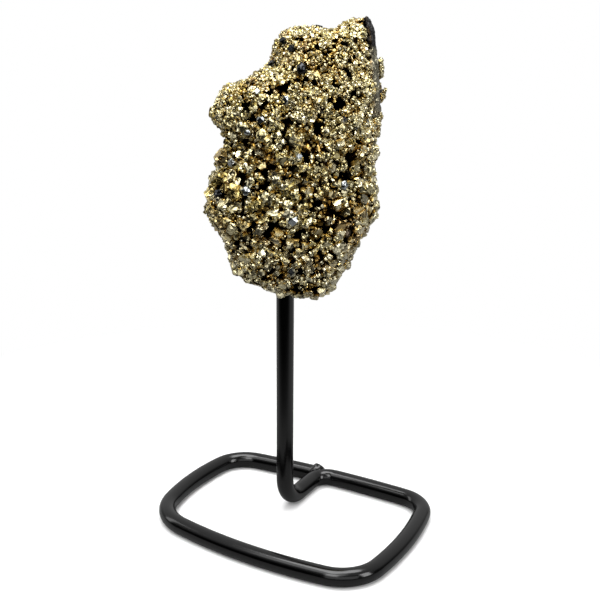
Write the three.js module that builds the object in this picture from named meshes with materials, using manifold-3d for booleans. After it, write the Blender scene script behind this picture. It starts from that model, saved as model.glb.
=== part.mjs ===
// A pyrite specimen glued on a bent-rod display stand. Millimetres, +Z up, table at Z = 0.
// The origin is on the table, at the centre of the stand's base loop. +Y is the back, where the
// arm joins the loop. Two pieces: wire_stand and pyrite_specimen.

import * as THREE from "three";
import { mergeVertices } from "three/addons/utils/BufferGeometryUtils.js";
import Module from "manifold-3d";

const wasm = await Module();
wasm.setup();

// ---- Stand: driving dimensions ----
const ROD = 5.3; // 5 mm rod with its coating, across the flats of its section
const ROD_SIDES = 12;
const UPRIGHT = { x: -4.1, y: 3.7 }; // axis of the upright
const UPRIGHT_TOP = 86; // end of the rod, inside the specimen
const FOOT_BEND = 8.6; // centreline radius where the upright turns back along the table
const ARM_BEND = 6; // centreline radius where the arm turns into the rear bar
const LOOP_CORNERS = [
  // Where the four bars would cross if they were straight, clockwise from the rear left.
  new THREE.Vector2(-35.1, 24.2),
  new THREE.Vector2(34.9, 25.7),
  new THREE.Vector2(35.5, -25.2),
  new THREE.Vector2(-33.9, -22.1),
];
const LOOP_BOWS = [1.9, 3.1, 3.9, 3.6]; // outward bow of the rear, right, front and left bars
const LOOP_CUTS = [8.1, 7.4, 9.2, 10]; // how far from each corner its bend starts
const LOOP_END = -5.8; // X of the rod's free end, just short of the arm's bend
const WELD = { x: -4.6, y: 26.8, radius: 3.2, height: 6 };

// ---- Specimen: driving dimensions ----
const FACE_TURN = 29.2; // degrees that the crystal face is turned from the stand's front
const SOCKET_GAP = 0.4; // glue gap round the rod in its socket

// Level sections of the lump, from its foot to its peak: left edge [across, up], right edge
// [across, up], then how far it reaches in front of the rod's axis and behind it.
const SECTIONS = [
  [[8.2, 72.2], [8.2, 72.2], 0, 0],
  [[-1, 73.5], [13.2, 73], 7.2, 7],
  [[-12.7, 77.4], [15.4, 76.8], 10.6, 9.5],
  [[-15.9, 82.2], [18.2, 82], 12.4, 11.5],
  [[-18, 89.5], [21.8, 88.5], 13.4, 12.5],
  [[-22.6, 96.6], [24.8, 94.5], 14.2, 13.2],
  [[-22, 103.6], [26.4, 100.4], 14.4, 13.4],
  [[-18.2, 111.2], [25, 107.5], 14, 13],
  [[-16.8, 117.6], [26.4, 117.5], 13.8, 12.6],
  [[-20.3, 124.4], [26.6, 125.5], 13.6, 12.2],
  [[-17.2, 131], [27.1, 132], 12.8, 11.4],
  [[-9.6, 134.9], [26.7, 137.4], 11.4, 10.4],
  [[-4.3, 139.2], [25.5, 141.2], 9.8, 9],
  [[-2.6, 144.4], [24.7, 146], 7.8, 7.4],
  [[2.2, 148], [23.9, 149.5], 4.4, 4.4],
  [[22.4, 151.1], [22.4, 151.1], 0, 0],
];
const SECTION_POWER = 2.5; // 2 would be an ellipse, higher is squarer
const SADDLE = { across: 12.6, halfWidth: 4.4, depth: 2.1, from: 141, to: 148 }; // crown's dip
const RISE_STEPS = 34;
const TURN_STEPS = 50;

// Flat faces where the lump was broken out of its matrix: a point on each, and the way it faces.
const FRACTURES = [
  { at: [0, 11.2, 100], facing: [0.06, 1, -0.04] },
  { at: [12, 10.4, 118], facing: [0.34, 0.92, 0.16] },
  { at: [-12, 10, 96], facing: [-0.42, 0.9, -0.06] },
  { at: [2, 8.4, 138], facing: [-0.06, 0.93, 0.36] },
  { at: [2, 9, 80], facing: [0.02, 0.9, -0.42] },
  { at: [25, 1, 143], facing: [0.95, 0.12, 0.3] },
];

// Larger hollows in the crystal face: [across, up, radius, depth].
const HOLLOWS = [
  [15.8, 127, 2.8, 2.4],
  [10, 123.3, 2.4, 2],
  [-0.3, 132.8, 2.6, 1.8],
  [-6.7, 115.3, 2.6, 2.2],
  [15.6, 114, 3, 2.4],
  [-17.6, 101.8, 2.6, 2],
  [-5.2, 97.1, 2.8, 2.2],
  [4.4, 90.8, 2.6, 2.2],
  [9.6, 85.6, 2.4, 2],
  [-5.4, 80.9, 2.4, 1.8],
  [-14.6, 114.4, 2.2, 1.8],
  [22.6, 119.5, 2.6, 2],
];

// Coarse crystals that stand out of the crust.
const COARSE_CRYSTALS = 64;
const CRYSTAL_RADIUS = [1.3, 2.6]; // smallest and largest, centre to corner
const CRYSTAL_SEED = 17;

// ---- Small helpers ----
const vector = (array) => new THREE.Vector3(...array);
const wave = (value, length, shift) => Math.sin((2 * Math.PI * value) / length + shift);

/** A repeatable source of numbers from 0 to 1. */
function randomSource(seed) {
  let state = seed;
  return () => {
    state = (state * 1664525 + 1013904223) % 4294967296;
    return state / 4294967296;
  };
}

/** The solid inside a closed three.js geometry. */
function solidOf(geometry) {
  const bare = geometry.clone();
  bare.deleteAttribute("normal");
  bare.deleteAttribute("uv");
  const merged = mergeVertices(bare, 1e-4);
  return new wasm.Manifold(
    new wasm.Mesh({
      numProp: 3,
      vertProperties: new Float32Array(merged.attributes.position.array),
      triVerts: new Uint32Array(merged.index.array),
    }),
  );
}

/** The three.js geometry of a solid, with flat facets. */
function geometryOf(solid) {
  const mesh = solid.getMesh();
  const indexed = new THREE.BufferGeometry();
  indexed.setAttribute("position", new THREE.BufferAttribute(mesh.vertProperties, 3));
  indexed.setIndex(new THREE.BufferAttribute(mesh.triVerts, 1));
  const faceted = indexed.toNonIndexed();
  faceted.computeVertexNormals();
  return faceted;
}

// ---- The bent rod ----

/** A rod's centreline made of curves laid end to end, each with its own number of steps. */
class BentRod extends THREE.Curve {
  constructor(stretches) {
    super();
    const first = stretches[0].curve;
    this.places = [first.getPoint(0)];
    this.headings = [first.getTangent(0)];
    for (const { curve, steps } of stretches) {
      for (let step = 1; step <= steps; step++) {
        this.places.push(curve.getPoint(step / steps));
        this.headings.push(curve.getTangent(step / steps));
      }
    }
  }

  get steps() {
    return this.places.length - 1;
  }

  // The steps are kept as they are, and not spread evenly by length.
  getUtoTmapping(along) {
    return along;
  }

  getPoint(along, target = new THREE.Vector3()) {
    return target.copy(this.places[Math.round(along * this.steps)]);
  }

  getTangent(along, target = new THREE.Vector3()) {
    return target.copy(this.headings[Math.round(along * this.steps)]);
  }
}

/** A round bend that leaves one end along a heading and arrives at the other along another. */
function bend(from, leaving, to, arriving) {
  const turn = leaving.angleTo(arriving);
  const radius = from.distanceTo(to) / (2 * Math.sin(turn / 2));
  const handle = (4 / 3) * Math.tan(turn / 4) * radius;
  return new THREE.CubicBezierCurve3(
    from,
    from.clone().addScaledVector(leaving, handle),
    to.clone().addScaledVector(arriving, -handle),
    to,
  );
}

/** Part of a bar that bows outward between two corners, from one share of its length to another. */
function bowedBar(side, fromShare, toShare) {
  const a = LOOP_CORNERS[side];
  const b = LOOP_CORNERS[(side + 1) % 4];
  const along = b.clone().sub(a).normalize();
  const outward = new THREE.Vector2(-along.y, along.x);
  const crown = a.clone().add(b).multiplyScalar(0.5).addScaledVector(outward, 2 * LOOP_BOWS[side]);
  const blend = (s, t) => {
    const flat = a.clone().multiplyScalar((1 - s) * (1 - t));
    flat.addScaledVector(crown, s * (1 - t) + t * (1 - s));
    flat.addScaledVector(b, s * t);
    return new THREE.Vector3(flat.x, flat.y, ROD / 2);
  };
  return new THREE.QuadraticBezierCurve3(
    blend(fromShare, fromShare),
    blend(fromShare, toShare),
    blend(toShare, toShare),
  );
}

/** The share of a bar's length taken up by a distance from its corner. */
function shareOf(side, distance) {
  return distance / LOOP_CORNERS[side].distanceTo(LOOP_CORNERS[(side + 1) % 4]);
}

/** The bend that joins the end of one bar to the start of the next. */
function cornerBend(bar, nextBar) {
  return bend(bar.getPoint(1), bar.getTangent(1), nextBar.getPoint(0), nextBar.getTangent(0));
}

/** The rod's centreline: down the upright, back along the arm, and clockwise round the loop. */
function rodLine() {
  const level = ROD / 2;
  const down = new THREE.Vector3(0, 0, -1);
  const back = new THREE.Vector3(0, 1, 0);
  const top = new THREE.Vector3(UPRIGHT.x, UPRIGHT.y, UPRIGHT_TOP);
  const kneeTop = new THREE.Vector3(UPRIGHT.x, UPRIGHT.y, level + FOOT_BEND);
  const kneeEnd = new THREE.Vector3(UPRIGHT.x, UPRIGHT.y + FOOT_BEND, level);

  const rearLeft = LOOP_CORNERS[0];
  const rearWidth = LOOP_CORNERS[1].x - rearLeft.x;
  const shareAtX = (x) => (x - rearLeft.x) / rearWidth;
  const rearStart = shareAtX(UPRIGHT.x + ARM_BEND);
  const rear = bowedBar(0, rearStart, 1 - shareOf(0, LOOP_CUTS[1]));
  const right = bowedBar(1, shareOf(1, LOOP_CUTS[1]), 1 - shareOf(1, LOOP_CUTS[2]));
  const front = bowedBar(2, shareOf(2, LOOP_CUTS[2]), 1 - shareOf(2, LOOP_CUTS[3]));
  const left = bowedBar(3, shareOf(3, LOOP_CUTS[3]), 1 - shareOf(3, LOOP_CUTS[0]));
  const rearFree = bowedBar(0, shareOf(0, LOOP_CUTS[0]), shareAtX(LOOP_END));

  const rearPoint = rear.getPoint(0);
  const armEnd = new THREE.Vector3(UPRIGHT.x, rearPoint.y - ARM_BEND, level);
  return new BentRod([
    { curve: new THREE.LineCurve3(top, kneeTop), steps: 4 },
    { curve: bend(kneeTop, down, kneeEnd, back), steps: 8 },
    { curve: new THREE.LineCurve3(kneeEnd, armEnd), steps: 2 },
    { curve: bend(armEnd, back, rearPoint, rear.getTangent(0)), steps: 8 },
    { curve: rear, steps: 6 },
    { curve: cornerBend(rear, right), steps: 6 },
    { curve: right, steps: 8 },
    { curve: cornerBend(right, front), steps: 6 },
    { curve: front, steps: 12 },
    { curve: cornerBend(front, left), steps: 6 },
    { curve: left, steps: 8 },
    { curve: cornerBend(left, rearFree), steps: 6 },
    { curve: rearFree, steps: 6 },
  ]);
}

/** The rod's section, turned so that a flat of it lies on the table all round the loop. */
function rodSection(acrossFlats) {
  const corner = acrossFlats / 2 / Math.cos(Math.PI / ROD_SIDES);
  const points = Array.from({ length: ROD_SIDES }, (_, side) => {
    const angle = ((side + 0.5) / ROD_SIDES) * 2 * Math.PI;
    return new THREE.Vector2(corner * Math.cos(angle), corner * Math.sin(angle));
  });
  return new THREE.Shape(points);
}

/** The bead that welds the rod's free end to the outside of the arm's bend. */
function weldBead() {
  const bead = new THREE.IcosahedronGeometry(WELD.radius, 2);
  bead.scale(1, 1, WELD.height / 2 / WELD.radius);
  bead.rotateZ(0.3);
  bead.translate(WELD.x, WELD.y, WELD.height / 2 + 0.05);
  return bead;
}

function standGeometry() {
  const line = rodLine();
  const rod = new THREE.ExtrudeGeometry(rodSection(ROD), { steps: line.steps, extrudePath: line });
  return geometryOf(solidOf(rod).add(solidOf(weldBead())));
}

// ---- The specimen, in its own frame: X across the crystal face, Y to its back, Z up from the
// table, with the rod's axis on the Z axis ----

/** Smooth lines through the sections' edges and depths, from the foot to the peak. */
const EDGE_LINES = {
  left: new THREE.CatmullRomCurve3(SECTIONS.map(([left]) => new THREE.Vector3(left[0], 0, left[1]))),
  right: new THREE.CatmullRomCurve3(
    SECTIONS.map(([, right]) => new THREE.Vector3(right[0], 0, right[1])),
  ),
  depth: new THREE.CatmullRomCurve3(
    SECTIONS.map(([, , ahead, behind], row) => new THREE.Vector3(ahead, behind, row)),
  ),
};

/** A place on the smooth lump: rise runs from foot to peak, turn once round it. */
function lumpPoint(rise, turn) {
  const left = EDGE_LINES.left.getPoint(rise);
  const right = EDGE_LINES.right.getPoint(rise);
  const depth = EDGE_LINES.depth.getPoint(rise);
  const squared = (value) => Math.sign(value) * Math.abs(value) ** (2 / SECTION_POWER);
  const across = squared(Math.cos(2 * Math.PI * turn));
  const inward = squared(Math.sin(2 * Math.PI * turn));
  const reach = Math.max(0, inward < 0 ? depth.x : depth.y);
  const p = left
    .clone()
    .add(right)
    .multiplyScalar(0.5)
    .addScaledVector(right.clone().sub(left), across / 2)
    .add(new THREE.Vector3(0, inward * reach, 0));
  const off = (p.x - SADDLE.across) / SADDLE.halfWidth;
  p.z -= SADDLE.depth * Math.exp(-off * off) * THREE.MathUtils.smoothstep(p.z, SADDLE.from, SADDLE.to);
  return p;
}

/** How far the crust swells at a place, in mm: knobs a few millimetres across. */
function knobs(p) {
  const broad = wave(p.x + 0.4 * p.z, 13, 0.6) * wave(p.z - 0.3 * p.x, 11, 1.9);
  const fine = wave(p.x + 0.7 * p.y, 6.1, 2.2) * wave(p.z + 0.5 * p.y, 5.3, 0.4);
  return 0.55 * broad + 0.35 * fine;
}

/** How deep the hollows of the crystal face are at a place. */
function hollowDepth(p) {
  let depth = 0;
  for (const [across, up, radius, deep] of HOLLOWS) {
    const away = Math.hypot(p.x - across, p.z - up) / radius;
    depth += p.y < 0 ? deep * Math.exp(-away * away) : 0;
  }
  return depth;
}

/** Moves a place on the lump out by its knobs, in by its hollows, and back to the fractures. */
function crustPoint(rise, turn) {
  const p = lumpPoint(rise, turn);
  const axis = new THREE.Vector3(4, -1, THREE.MathUtils.clamp(p.z, 84, 140));
  const outward = p.clone().sub(axis).normalize();
  const taper = Math.sin(Math.PI * rise);
  p.addScaledVector(outward, taper * knobs(p) - hollowDepth(p));
  for (const { at, facing } of FRACTURES) {
    const normal = vector(facing).normalize();
    const beyond = normal.dot(p) - normal.dot(vector(at));
    p.addScaledVector(normal, -Math.max(0, beyond) * 0.94);
  }
  return p;
}

/** The lump as rings of points from foot to peak, closed by one point at each end. */
function lumpGeometry() {
  const points = [crustPoint(0, 0)];
  for (let ring = 1; ring < RISE_STEPS; ring++) {
    const rise = (1 - Math.cos((Math.PI * ring) / RISE_STEPS)) / 2;
    const eased = (rise + 2 * (ring / RISE_STEPS)) / 3;
    for (let step = 0; step < TURN_STEPS; step++) {
      points.push(crustPoint(eased, (step + (ring % 2) / 2) / TURN_STEPS));
    }
  }
  points.push(crustPoint(1, 0));

  const at = (ring, step) => 1 + (ring - 1) * TURN_STEPS + (step % TURN_STEPS);
  const last = points.length - 1;
  const faces = [];
  for (let step = 0; step < TURN_STEPS; step++) {
    faces.push(0, at(1, step + 1), at(1, step));
    faces.push(last, at(RISE_STEPS - 1, step), at(RISE_STEPS - 1, step + 1));
  }
  for (let ring = 1; ring < RISE_STEPS - 1; ring++) {
    const lean = ring % 2;
    for (let step = 0; step < TURN_STEPS; step++) {
      const low = [at(ring, step), at(ring, step + 1)];
      const high = [at(ring + 1, step), at(ring + 1, step + 1)];
      if (lean) {
        faces.push(low[0], high[1], high[0], low[0], low[1], high[1]);
      } else {
        faces.push(low[0], low[1], high[0], low[1], high[1], high[0]);
      }
    }
  }
  const lump = new THREE.BufferGeometry().setFromPoints(points);
  lump.setIndex(faces);
  return lump;
}

/** One coarse crystal: a cube, an octahedron or a pyritohedron's near twin, turned at random. */
function crystalGeometry(random) {
  const radius = THREE.MathUtils.lerp(...CRYSTAL_RADIUS, random() ** 2);
  const habit = random();
  let crystal;
  if (habit < 0.45) {
    crystal = new THREE.BoxGeometry(1.2 * radius, 1.2 * radius, 1.2 * radius);
  } else if (habit < 0.7) {
    crystal = new THREE.OctahedronGeometry(radius);
  } else {
    crystal = new THREE.DodecahedronGeometry(radius);
  }
  crystal.rotateX(2 * Math.PI * random());
  crystal.rotateY(2 * Math.PI * random());
  crystal.rotateZ(2 * Math.PI * random());
  return crystal;
}

/** The coarse crystals, half sunk in the crust of the front and the two sides. */
function coarseCrystals() {
  const random = randomSource(CRYSTAL_SEED);
  return Array.from({ length: COARSE_CRYSTALS }, () => {
    const place = crustPoint(0.08 + 0.84 * random(), 0.5 + 0.5 * random());
    const crystal = crystalGeometry(random);
    crystal.translate(place.x, place.y, place.z);
    return solidOf(crystal);
  });
}

/** The blind hole in the underside that takes the end of the rod. */
function socketGeometry() {
  const foot = SECTIONS[0][0][1] - 6;
  const roof = UPRIGHT_TOP + SOCKET_GAP;
  const radius = ROD / 2 / Math.cos(Math.PI / ROD_SIDES) + SOCKET_GAP;
  const socket = new THREE.CylinderGeometry(radius, radius, roof - foot, 2 * ROD_SIDES);
  socket.rotateX(Math.PI / 2);
  socket.translate(0, 0, (roof + foot) / 2);
  return socket;
}

function specimenGeometry() {
  let specimen = solidOf(lumpGeometry());
  for (const crystal of coarseCrystals()) {
    specimen = specimen.add(crystal);
  }
  return geometryOf(specimen.subtract(solidOf(socketGeometry())));
}

// ---- The object ----

function makeStand() {
  const coating = new THREE.MeshStandardMaterial({ color: 0x101010, roughness: 0.35, metalness: 0 });
  const stand = new THREE.Mesh(standGeometry(), coating);
  stand.name = "wire_stand";
  return stand;
}

function makeSpecimen() {
  const pyrite = new THREE.MeshStandardMaterial({ color: 0xa8966a, roughness: 0.3, metalness: 0.9 });
  const specimen = new THREE.Mesh(specimenGeometry(), pyrite);
  specimen.name = "pyrite_specimen";
  specimen.position.set(UPRIGHT.x, UPRIGHT.y, 0);
  specimen.rotation.z = THREE.MathUtils.degToRad(FACE_TURN);
  return specimen;
}

const object = new THREE.Group();
object.add(makeStand());
object.add(makeSpecimen());

export default object;
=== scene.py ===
"""A pyrite specimen on a bent-wire display stand, in metres, standing on the table at z = 0."""
import math

import bmesh
import bpy
import numpy as np
from mathutils import Euler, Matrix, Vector


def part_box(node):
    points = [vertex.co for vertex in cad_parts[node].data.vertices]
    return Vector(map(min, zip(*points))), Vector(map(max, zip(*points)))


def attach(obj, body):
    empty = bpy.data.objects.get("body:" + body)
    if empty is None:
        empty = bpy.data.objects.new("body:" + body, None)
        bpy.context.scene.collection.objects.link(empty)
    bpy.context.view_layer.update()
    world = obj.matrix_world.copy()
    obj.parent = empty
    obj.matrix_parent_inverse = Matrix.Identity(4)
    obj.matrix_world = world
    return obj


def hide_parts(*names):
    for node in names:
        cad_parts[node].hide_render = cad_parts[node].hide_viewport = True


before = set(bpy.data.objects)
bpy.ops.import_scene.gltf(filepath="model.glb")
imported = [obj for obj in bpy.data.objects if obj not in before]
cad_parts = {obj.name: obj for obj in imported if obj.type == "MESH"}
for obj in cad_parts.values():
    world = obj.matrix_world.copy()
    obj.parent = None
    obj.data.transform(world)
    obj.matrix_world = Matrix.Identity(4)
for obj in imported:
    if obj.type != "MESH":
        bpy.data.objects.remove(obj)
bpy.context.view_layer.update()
MM = 0.001

# --- Camera ---------------------------------------------------------------------------
# It stands in front and to the right of the stand, level with the stone's peak, and looks
# down a little, so that the base loop opens below the stone.
CAMERA_PLACE = Vector((135.2, -236.5, 152.85)) * MM
CAMERA_HEADING = math.radians(29.2)  # to the left of straight back
CAMERA_DIP = math.radians(16.62)
CAMERA_ROLL = math.radians(0.35)
CAMERA_LENS = 58.3

camera = bpy.data.objects.new("camera", bpy.data.cameras.new("camera"))
camera.data.lens = CAMERA_LENS
camera.data.sensor_width = 36
camera.data.clip_start = 0.01
camera.location = CAMERA_PLACE
level = Euler((math.pi / 2 - CAMERA_DIP, 0, CAMERA_HEADING), "XYZ").to_matrix()
camera.rotation_euler = (level @ Euler((0, 0, CAMERA_ROLL)).to_matrix()).to_euler()
bpy.context.collection.objects.link(camera)
bpy.context.scene.camera = camera

# --- The stand: one bent steel rod ----------------------------------------------------
# A 5 mm mild steel rod, bent cold into an upright, an arm and the base loop. Its free end is
# welded to the arm's bend, and the whole stand is powder coated in satin black.
ROD_RADIUS = 2.65 * MM
UPRIGHT = np.array((-4.1, 3.7)) * MM
FOOT_BEND = 8.6 * MM
ARM_BEND = 6 * MM
LOOP_CORNERS = np.array([(-35.1, 24.2), (34.9, 25.7), (35.5, -25.2), (-33.9, -22.1)]) * MM
LOOP_BOWS = np.array((1.9, 3.1, 3.9, 3.6)) * MM
LOOP_CUTS = np.array((8.1, 7.4, 9.2, 10)) * MM
LOOP_END = -5.8 * MM
ROD_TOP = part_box("wire_stand")[1][2]
ROD_STEP = 0.7 * MM
ROD_SIDES = 40


def bezier(corners, count):
    """Points along a Bezier curve with these control points: each is the mean of the control
    points, weighted by the binomial terms of its share of the way."""
    t = np.linspace(0, 1, count)[:, None]
    n = len(corners) - 1
    terms = (math.comb(n, k) * t**k * (1 - t) ** (n - k) * corner for k, corner in enumerate(corners))
    return sum(terms)


def steps_for(corners):
    """Enough points for one every ROD_STEP along the control points' polyline."""
    length = np.linalg.norm(np.diff(np.array(corners), axis=0), axis=1).sum()
    return max(3, int(length / ROD_STEP))


def bend(start, leaving, end, arriving):
    """A round bend: a cubic curve whose handles are the length that fits a circle's arc."""
    turn = math.acos(float(np.clip(np.dot(leaving, arriving), -1, 1)))
    radius = np.linalg.norm(end - start) / (2 * math.sin(turn / 2))
    handle = 4 / 3 * math.tan(turn / 4) * radius
    corners = [start, start + handle * leaving, end - handle * arriving, end]
    return bezier(corners, steps_for(corners))


def bowed_bar(side, start, end):
    """The control points of one bar from one share of its length to another: a parabola that
    bows outward between its two corners."""
    a, b = LOOP_CORNERS[side], LOOP_CORNERS[(side + 1) % 4]
    along = (b - a) / np.linalg.norm(b - a)
    crown = (a + b) / 2 + 2 * LOOP_BOWS[side] * np.array((-along[1], along[0]))

    def blend(s, t):
        flat = (1 - s) * (1 - t) * a + (s * (1 - t) + t * (1 - s)) * crown + s * t * b
        return np.array((*flat, ROD_RADIUS))

    return [blend(start, start), blend(start, end), blend(end, end)]


def heading(start, end):
    """The unit vector from one point to another."""
    return (end - start) / np.linalg.norm(end - start)


def rod_route():
    """The rod's centreline: down the upright, back along the arm, then clockwise round the
    loop to the rod's free end."""
    down, back = np.array((0, 0, -1.0)), np.array((0, 1.0, 0))
    lengths = np.linalg.norm(LOOP_CORNERS - np.roll(LOOP_CORNERS, -1, axis=0), axis=1)
    after = LOOP_CUTS / lengths
    before = 1 - np.roll(LOOP_CUTS, -1) / lengths
    rear_span = LOOP_CORNERS[1, 0] - LOOP_CORNERS[0, 0]
    at_arm, at_end = ((x - LOOP_CORNERS[0, 0]) / rear_span for x in (UPRIGHT[0] + ARM_BEND, LOOP_END))
    bars = [bowed_bar(0, at_arm, before[0])]
    bars += [bowed_bar(side, after[side], before[side]) for side in (1, 2, 3)]
    bars.append(bowed_bar(0, after[0], at_end))

    top = np.array((*UPRIGHT, ROD_TOP))
    knee_top = np.array((*UPRIGHT, ROD_RADIUS + FOOT_BEND))
    knee_end = np.array((UPRIGHT[0], UPRIGHT[1] + FOOT_BEND, ROD_RADIUS))
    arm_end = np.array((UPRIGHT[0], bars[0][0][1] - ARM_BEND, ROD_RADIUS))
    pieces = [bezier([top, knee_top], steps_for([top, knee_top]))]
    pieces.append(bend(knee_top, down, knee_end, back))
    pieces.append(bezier([knee_end, arm_end], steps_for([knee_end, arm_end])))
    pieces.append(bend(arm_end, back, bars[0][0], heading(*bars[0][:2])))
    for bar, following in zip(bars, bars[1:] + [None]):
        pieces.append(bezier(bar, steps_for(bar)))
        if following:
            leaving, arriving = heading(*bar[1:]), heading(*following[:2])
            pieces.append(bend(bar[2], leaving, following[0], arriving))
    route = np.concatenate(pieces)
    moved = np.linalg.norm(np.diff(route, axis=0), axis=1) > 1e-6
    return route[np.r_[True, moved]]


def carried_frames(route):
    """Two unit vectors across the route at every point. The rod only bends in upright and in
    level planes, so one is level and square to the route, and the other completes the set."""
    along = np.gradient(route, axis=0)
    along /= np.linalg.norm(along, axis=1)[:, None]
    flat = np.hypot(along[:, 0], along[:, 1]) > 1e-3
    side = np.where(flat[:, None], np.c_[along[:, 1], -along[:, 0], np.zeros(len(along))], (1.0, 0, 0))
    side /= np.linalg.norm(side, axis=1)[:, None]
    return side, np.cross(side, along)


def grid_faces(rows, columns):
    """Quads of a grid that closes on itself across its columns."""
    row, column = np.meshgrid(np.arange(rows - 1), np.arange(columns), indexing="ij")
    across = (column + 1) % columns
    corners = (row * columns + column, row * columns + across)
    above = ((row + 1) * columns + across, (row + 1) * columns + column)
    return np.stack([*corners, *above], axis=-1).reshape(-1, 4)


def mesh_piece(name, points, faces, smooth=True, merged=False):
    """A new object from arrays of points and faces, with its normals made to point outwards,
    after points at one place are merged if asked."""
    mesh = bpy.data.meshes.new(name)
    mesh.from_pydata(points.tolist(), [], [list(face) for face in faces])
    shape = bmesh.new()
    shape.from_mesh(mesh)
    if merged:
        bmesh.ops.remove_doubles(shape, verts=shape.verts, dist=1e-6)
    bmesh.ops.recalc_face_normals(shape, faces=shape.faces)
    shape.to_mesh(mesh)
    shape.free()
    mesh.polygons.foreach_set("use_smooth", np.full(len(mesh.polygons), smooth))
    piece = bpy.data.objects.new(name, mesh)
    bpy.context.collection.objects.link(piece)
    return piece


def rod_surface():
    """The round section carried along the route, closed by a flat cap at each end."""
    route = rod_route()
    side, up = carried_frames(route)
    angle = np.linspace(0, 2 * math.pi, ROD_SIDES, endpoint=False)
    ring = side[:, None] * np.cos(angle)[:, None] + up[:, None] * np.sin(angle)[:, None]
    points = (route[:, None] + ROD_RADIUS * ring).reshape(-1, 3)
    faces = grid_faces(len(route), ROD_SIDES).tolist()
    last = (len(route) - 1) * ROD_SIDES
    faces.append(list(range(ROD_SIDES)))
    faces.append(list(range(last, last + ROD_SIDES)))
    return mesh_piece("bent_rod", points, faces)


def new_material(name):
    """A new material, with its node tree and its shader."""
    material = bpy.data.materials.new(name)
    material.use_nodes = True
    tree = material.node_tree
    return material, tree, tree.nodes["Principled BSDF"]


def noise(tree, place, scale, detail):
    """A noise texture's value at a place."""
    node = tree.nodes.new("ShaderNodeTexNoise")
    node.inputs["Scale"].default_value = scale
    node.inputs["Detail"].default_value = detail
    tree.links.new(place, node.inputs["Vector"])
    return node.outputs["Fac"]


def colour_ramp(tree, source, stops):
    """A colour ramp fed by a socket, with these (position, colour) stops."""
    node = tree.nodes.new("ShaderNodeValToRGB")
    ramp = node.color_ramp
    ramp.elements[0].position, ramp.elements[0].color = stops[0][0], (*stops[0][1], 1)
    ramp.elements[1].position, ramp.elements[1].color = stops[-1][0], (*stops[-1][1], 1)
    for position, colour in stops[1:-1]:
        ramp.elements.new(position).color = (*colour, 1)
    tree.links.new(source, node.inputs["Fac"])
    return node.outputs["Color"]


def number_range(tree, source, low, high, from_low=0.0, from_high=1.0):
    """A socket's value carried from one range to another, and held inside it."""
    node = tree.nodes.new("ShaderNodeMapRange")
    node.inputs["From Min"].default_value = from_low
    node.inputs["From Max"].default_value = from_high
    node.inputs["To Min"].default_value = low
    node.inputs["To Max"].default_value = high
    tree.links.new(source, node.inputs["Value"])
    return node.outputs["Result"]


def bumped(tree, height, strength, distance, shader, normal=None):
    """Gives a shader the bumps of a height socket, on a normal of its own if it has one."""
    bump = tree.nodes.new("ShaderNodeBump")
    if normal:
        tree.links.new(normal, bump.inputs["Normal"])
    bump.inputs["Strength"].default_value = strength
    bump.inputs["Distance"].default_value = distance
    tree.links.new(height, bump.inputs["Height"])
    tree.links.new(bump.outputs["Normal"], shader.inputs["Normal"])


COAT_BLACKS = [(0.35, (0.0001,) * 3), (0.75, (0.0004,) * 3)]
COAT_GLOSS = (0.12, 0.2)


def black_coating():
    """Satin black powder coat: a fine orange peel, and a few rubbed spots."""
    material, tree, shader = new_material("black_coating")
    place = tree.nodes.new("ShaderNodeTexCoord").outputs["Object"]
    peel = noise(tree, place, 900, 3)
    rub = noise(tree, place, 120, 5)
    tree.links.new(colour_ramp(tree, rub, COAT_BLACKS), shader.inputs["Base Color"])
    tree.links.new(number_range(tree, rub, *COAT_GLOSS), shader.inputs["Roughness"])
    bumped(tree, peel, 0.04, 0.2 * MM, shader)
    return material


coating = black_coating()
rod = rod_surface()
rod.data.materials.append(coating)
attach(rod, "root")
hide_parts("wire_stand")

# --- The weld bead --------------------------------------------------------------------
# A lump of weld metal that joins the rod's free end to the outside of the arm's bend, ground a
# little and coated over with the rest of the stand.
WELD_PLACE = np.array((-4.9, 26.8, 3.05)) * MM
WELD_SIZE = np.array((2.6, 2.9, 2.95)) * MM


def weld_surface():
    """A ball squashed on three axes, with a ripple of a few waves over it."""
    rows, columns = 40, 64
    dip = np.linspace(0, math.pi, rows)[:, None]
    turn = np.linspace(0, 2 * math.pi, columns, endpoint=False)[None]
    ripple = 1 + 0.05 * np.sin(3 * turn + 1) * np.sin(2 * dip) + 0.03 * np.sin(5 * dip + 2 * turn)
    ball = np.stack([np.sin(dip) * np.cos(turn), np.sin(dip) * np.sin(turn), np.cos(dip) + 0 * turn], -1)
    points = (WELD_PLACE + WELD_SIZE * ball * ripple[..., None]).reshape(-1, 3)
    points[:, 2] = np.maximum(points[:, 2], 0.05 * MM)
    return mesh_piece("weld_bead", points, grid_faces(rows, columns), merged=True)


weld = weld_surface()
weld.data.materials.append(coating)
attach(weld, "root")

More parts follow.
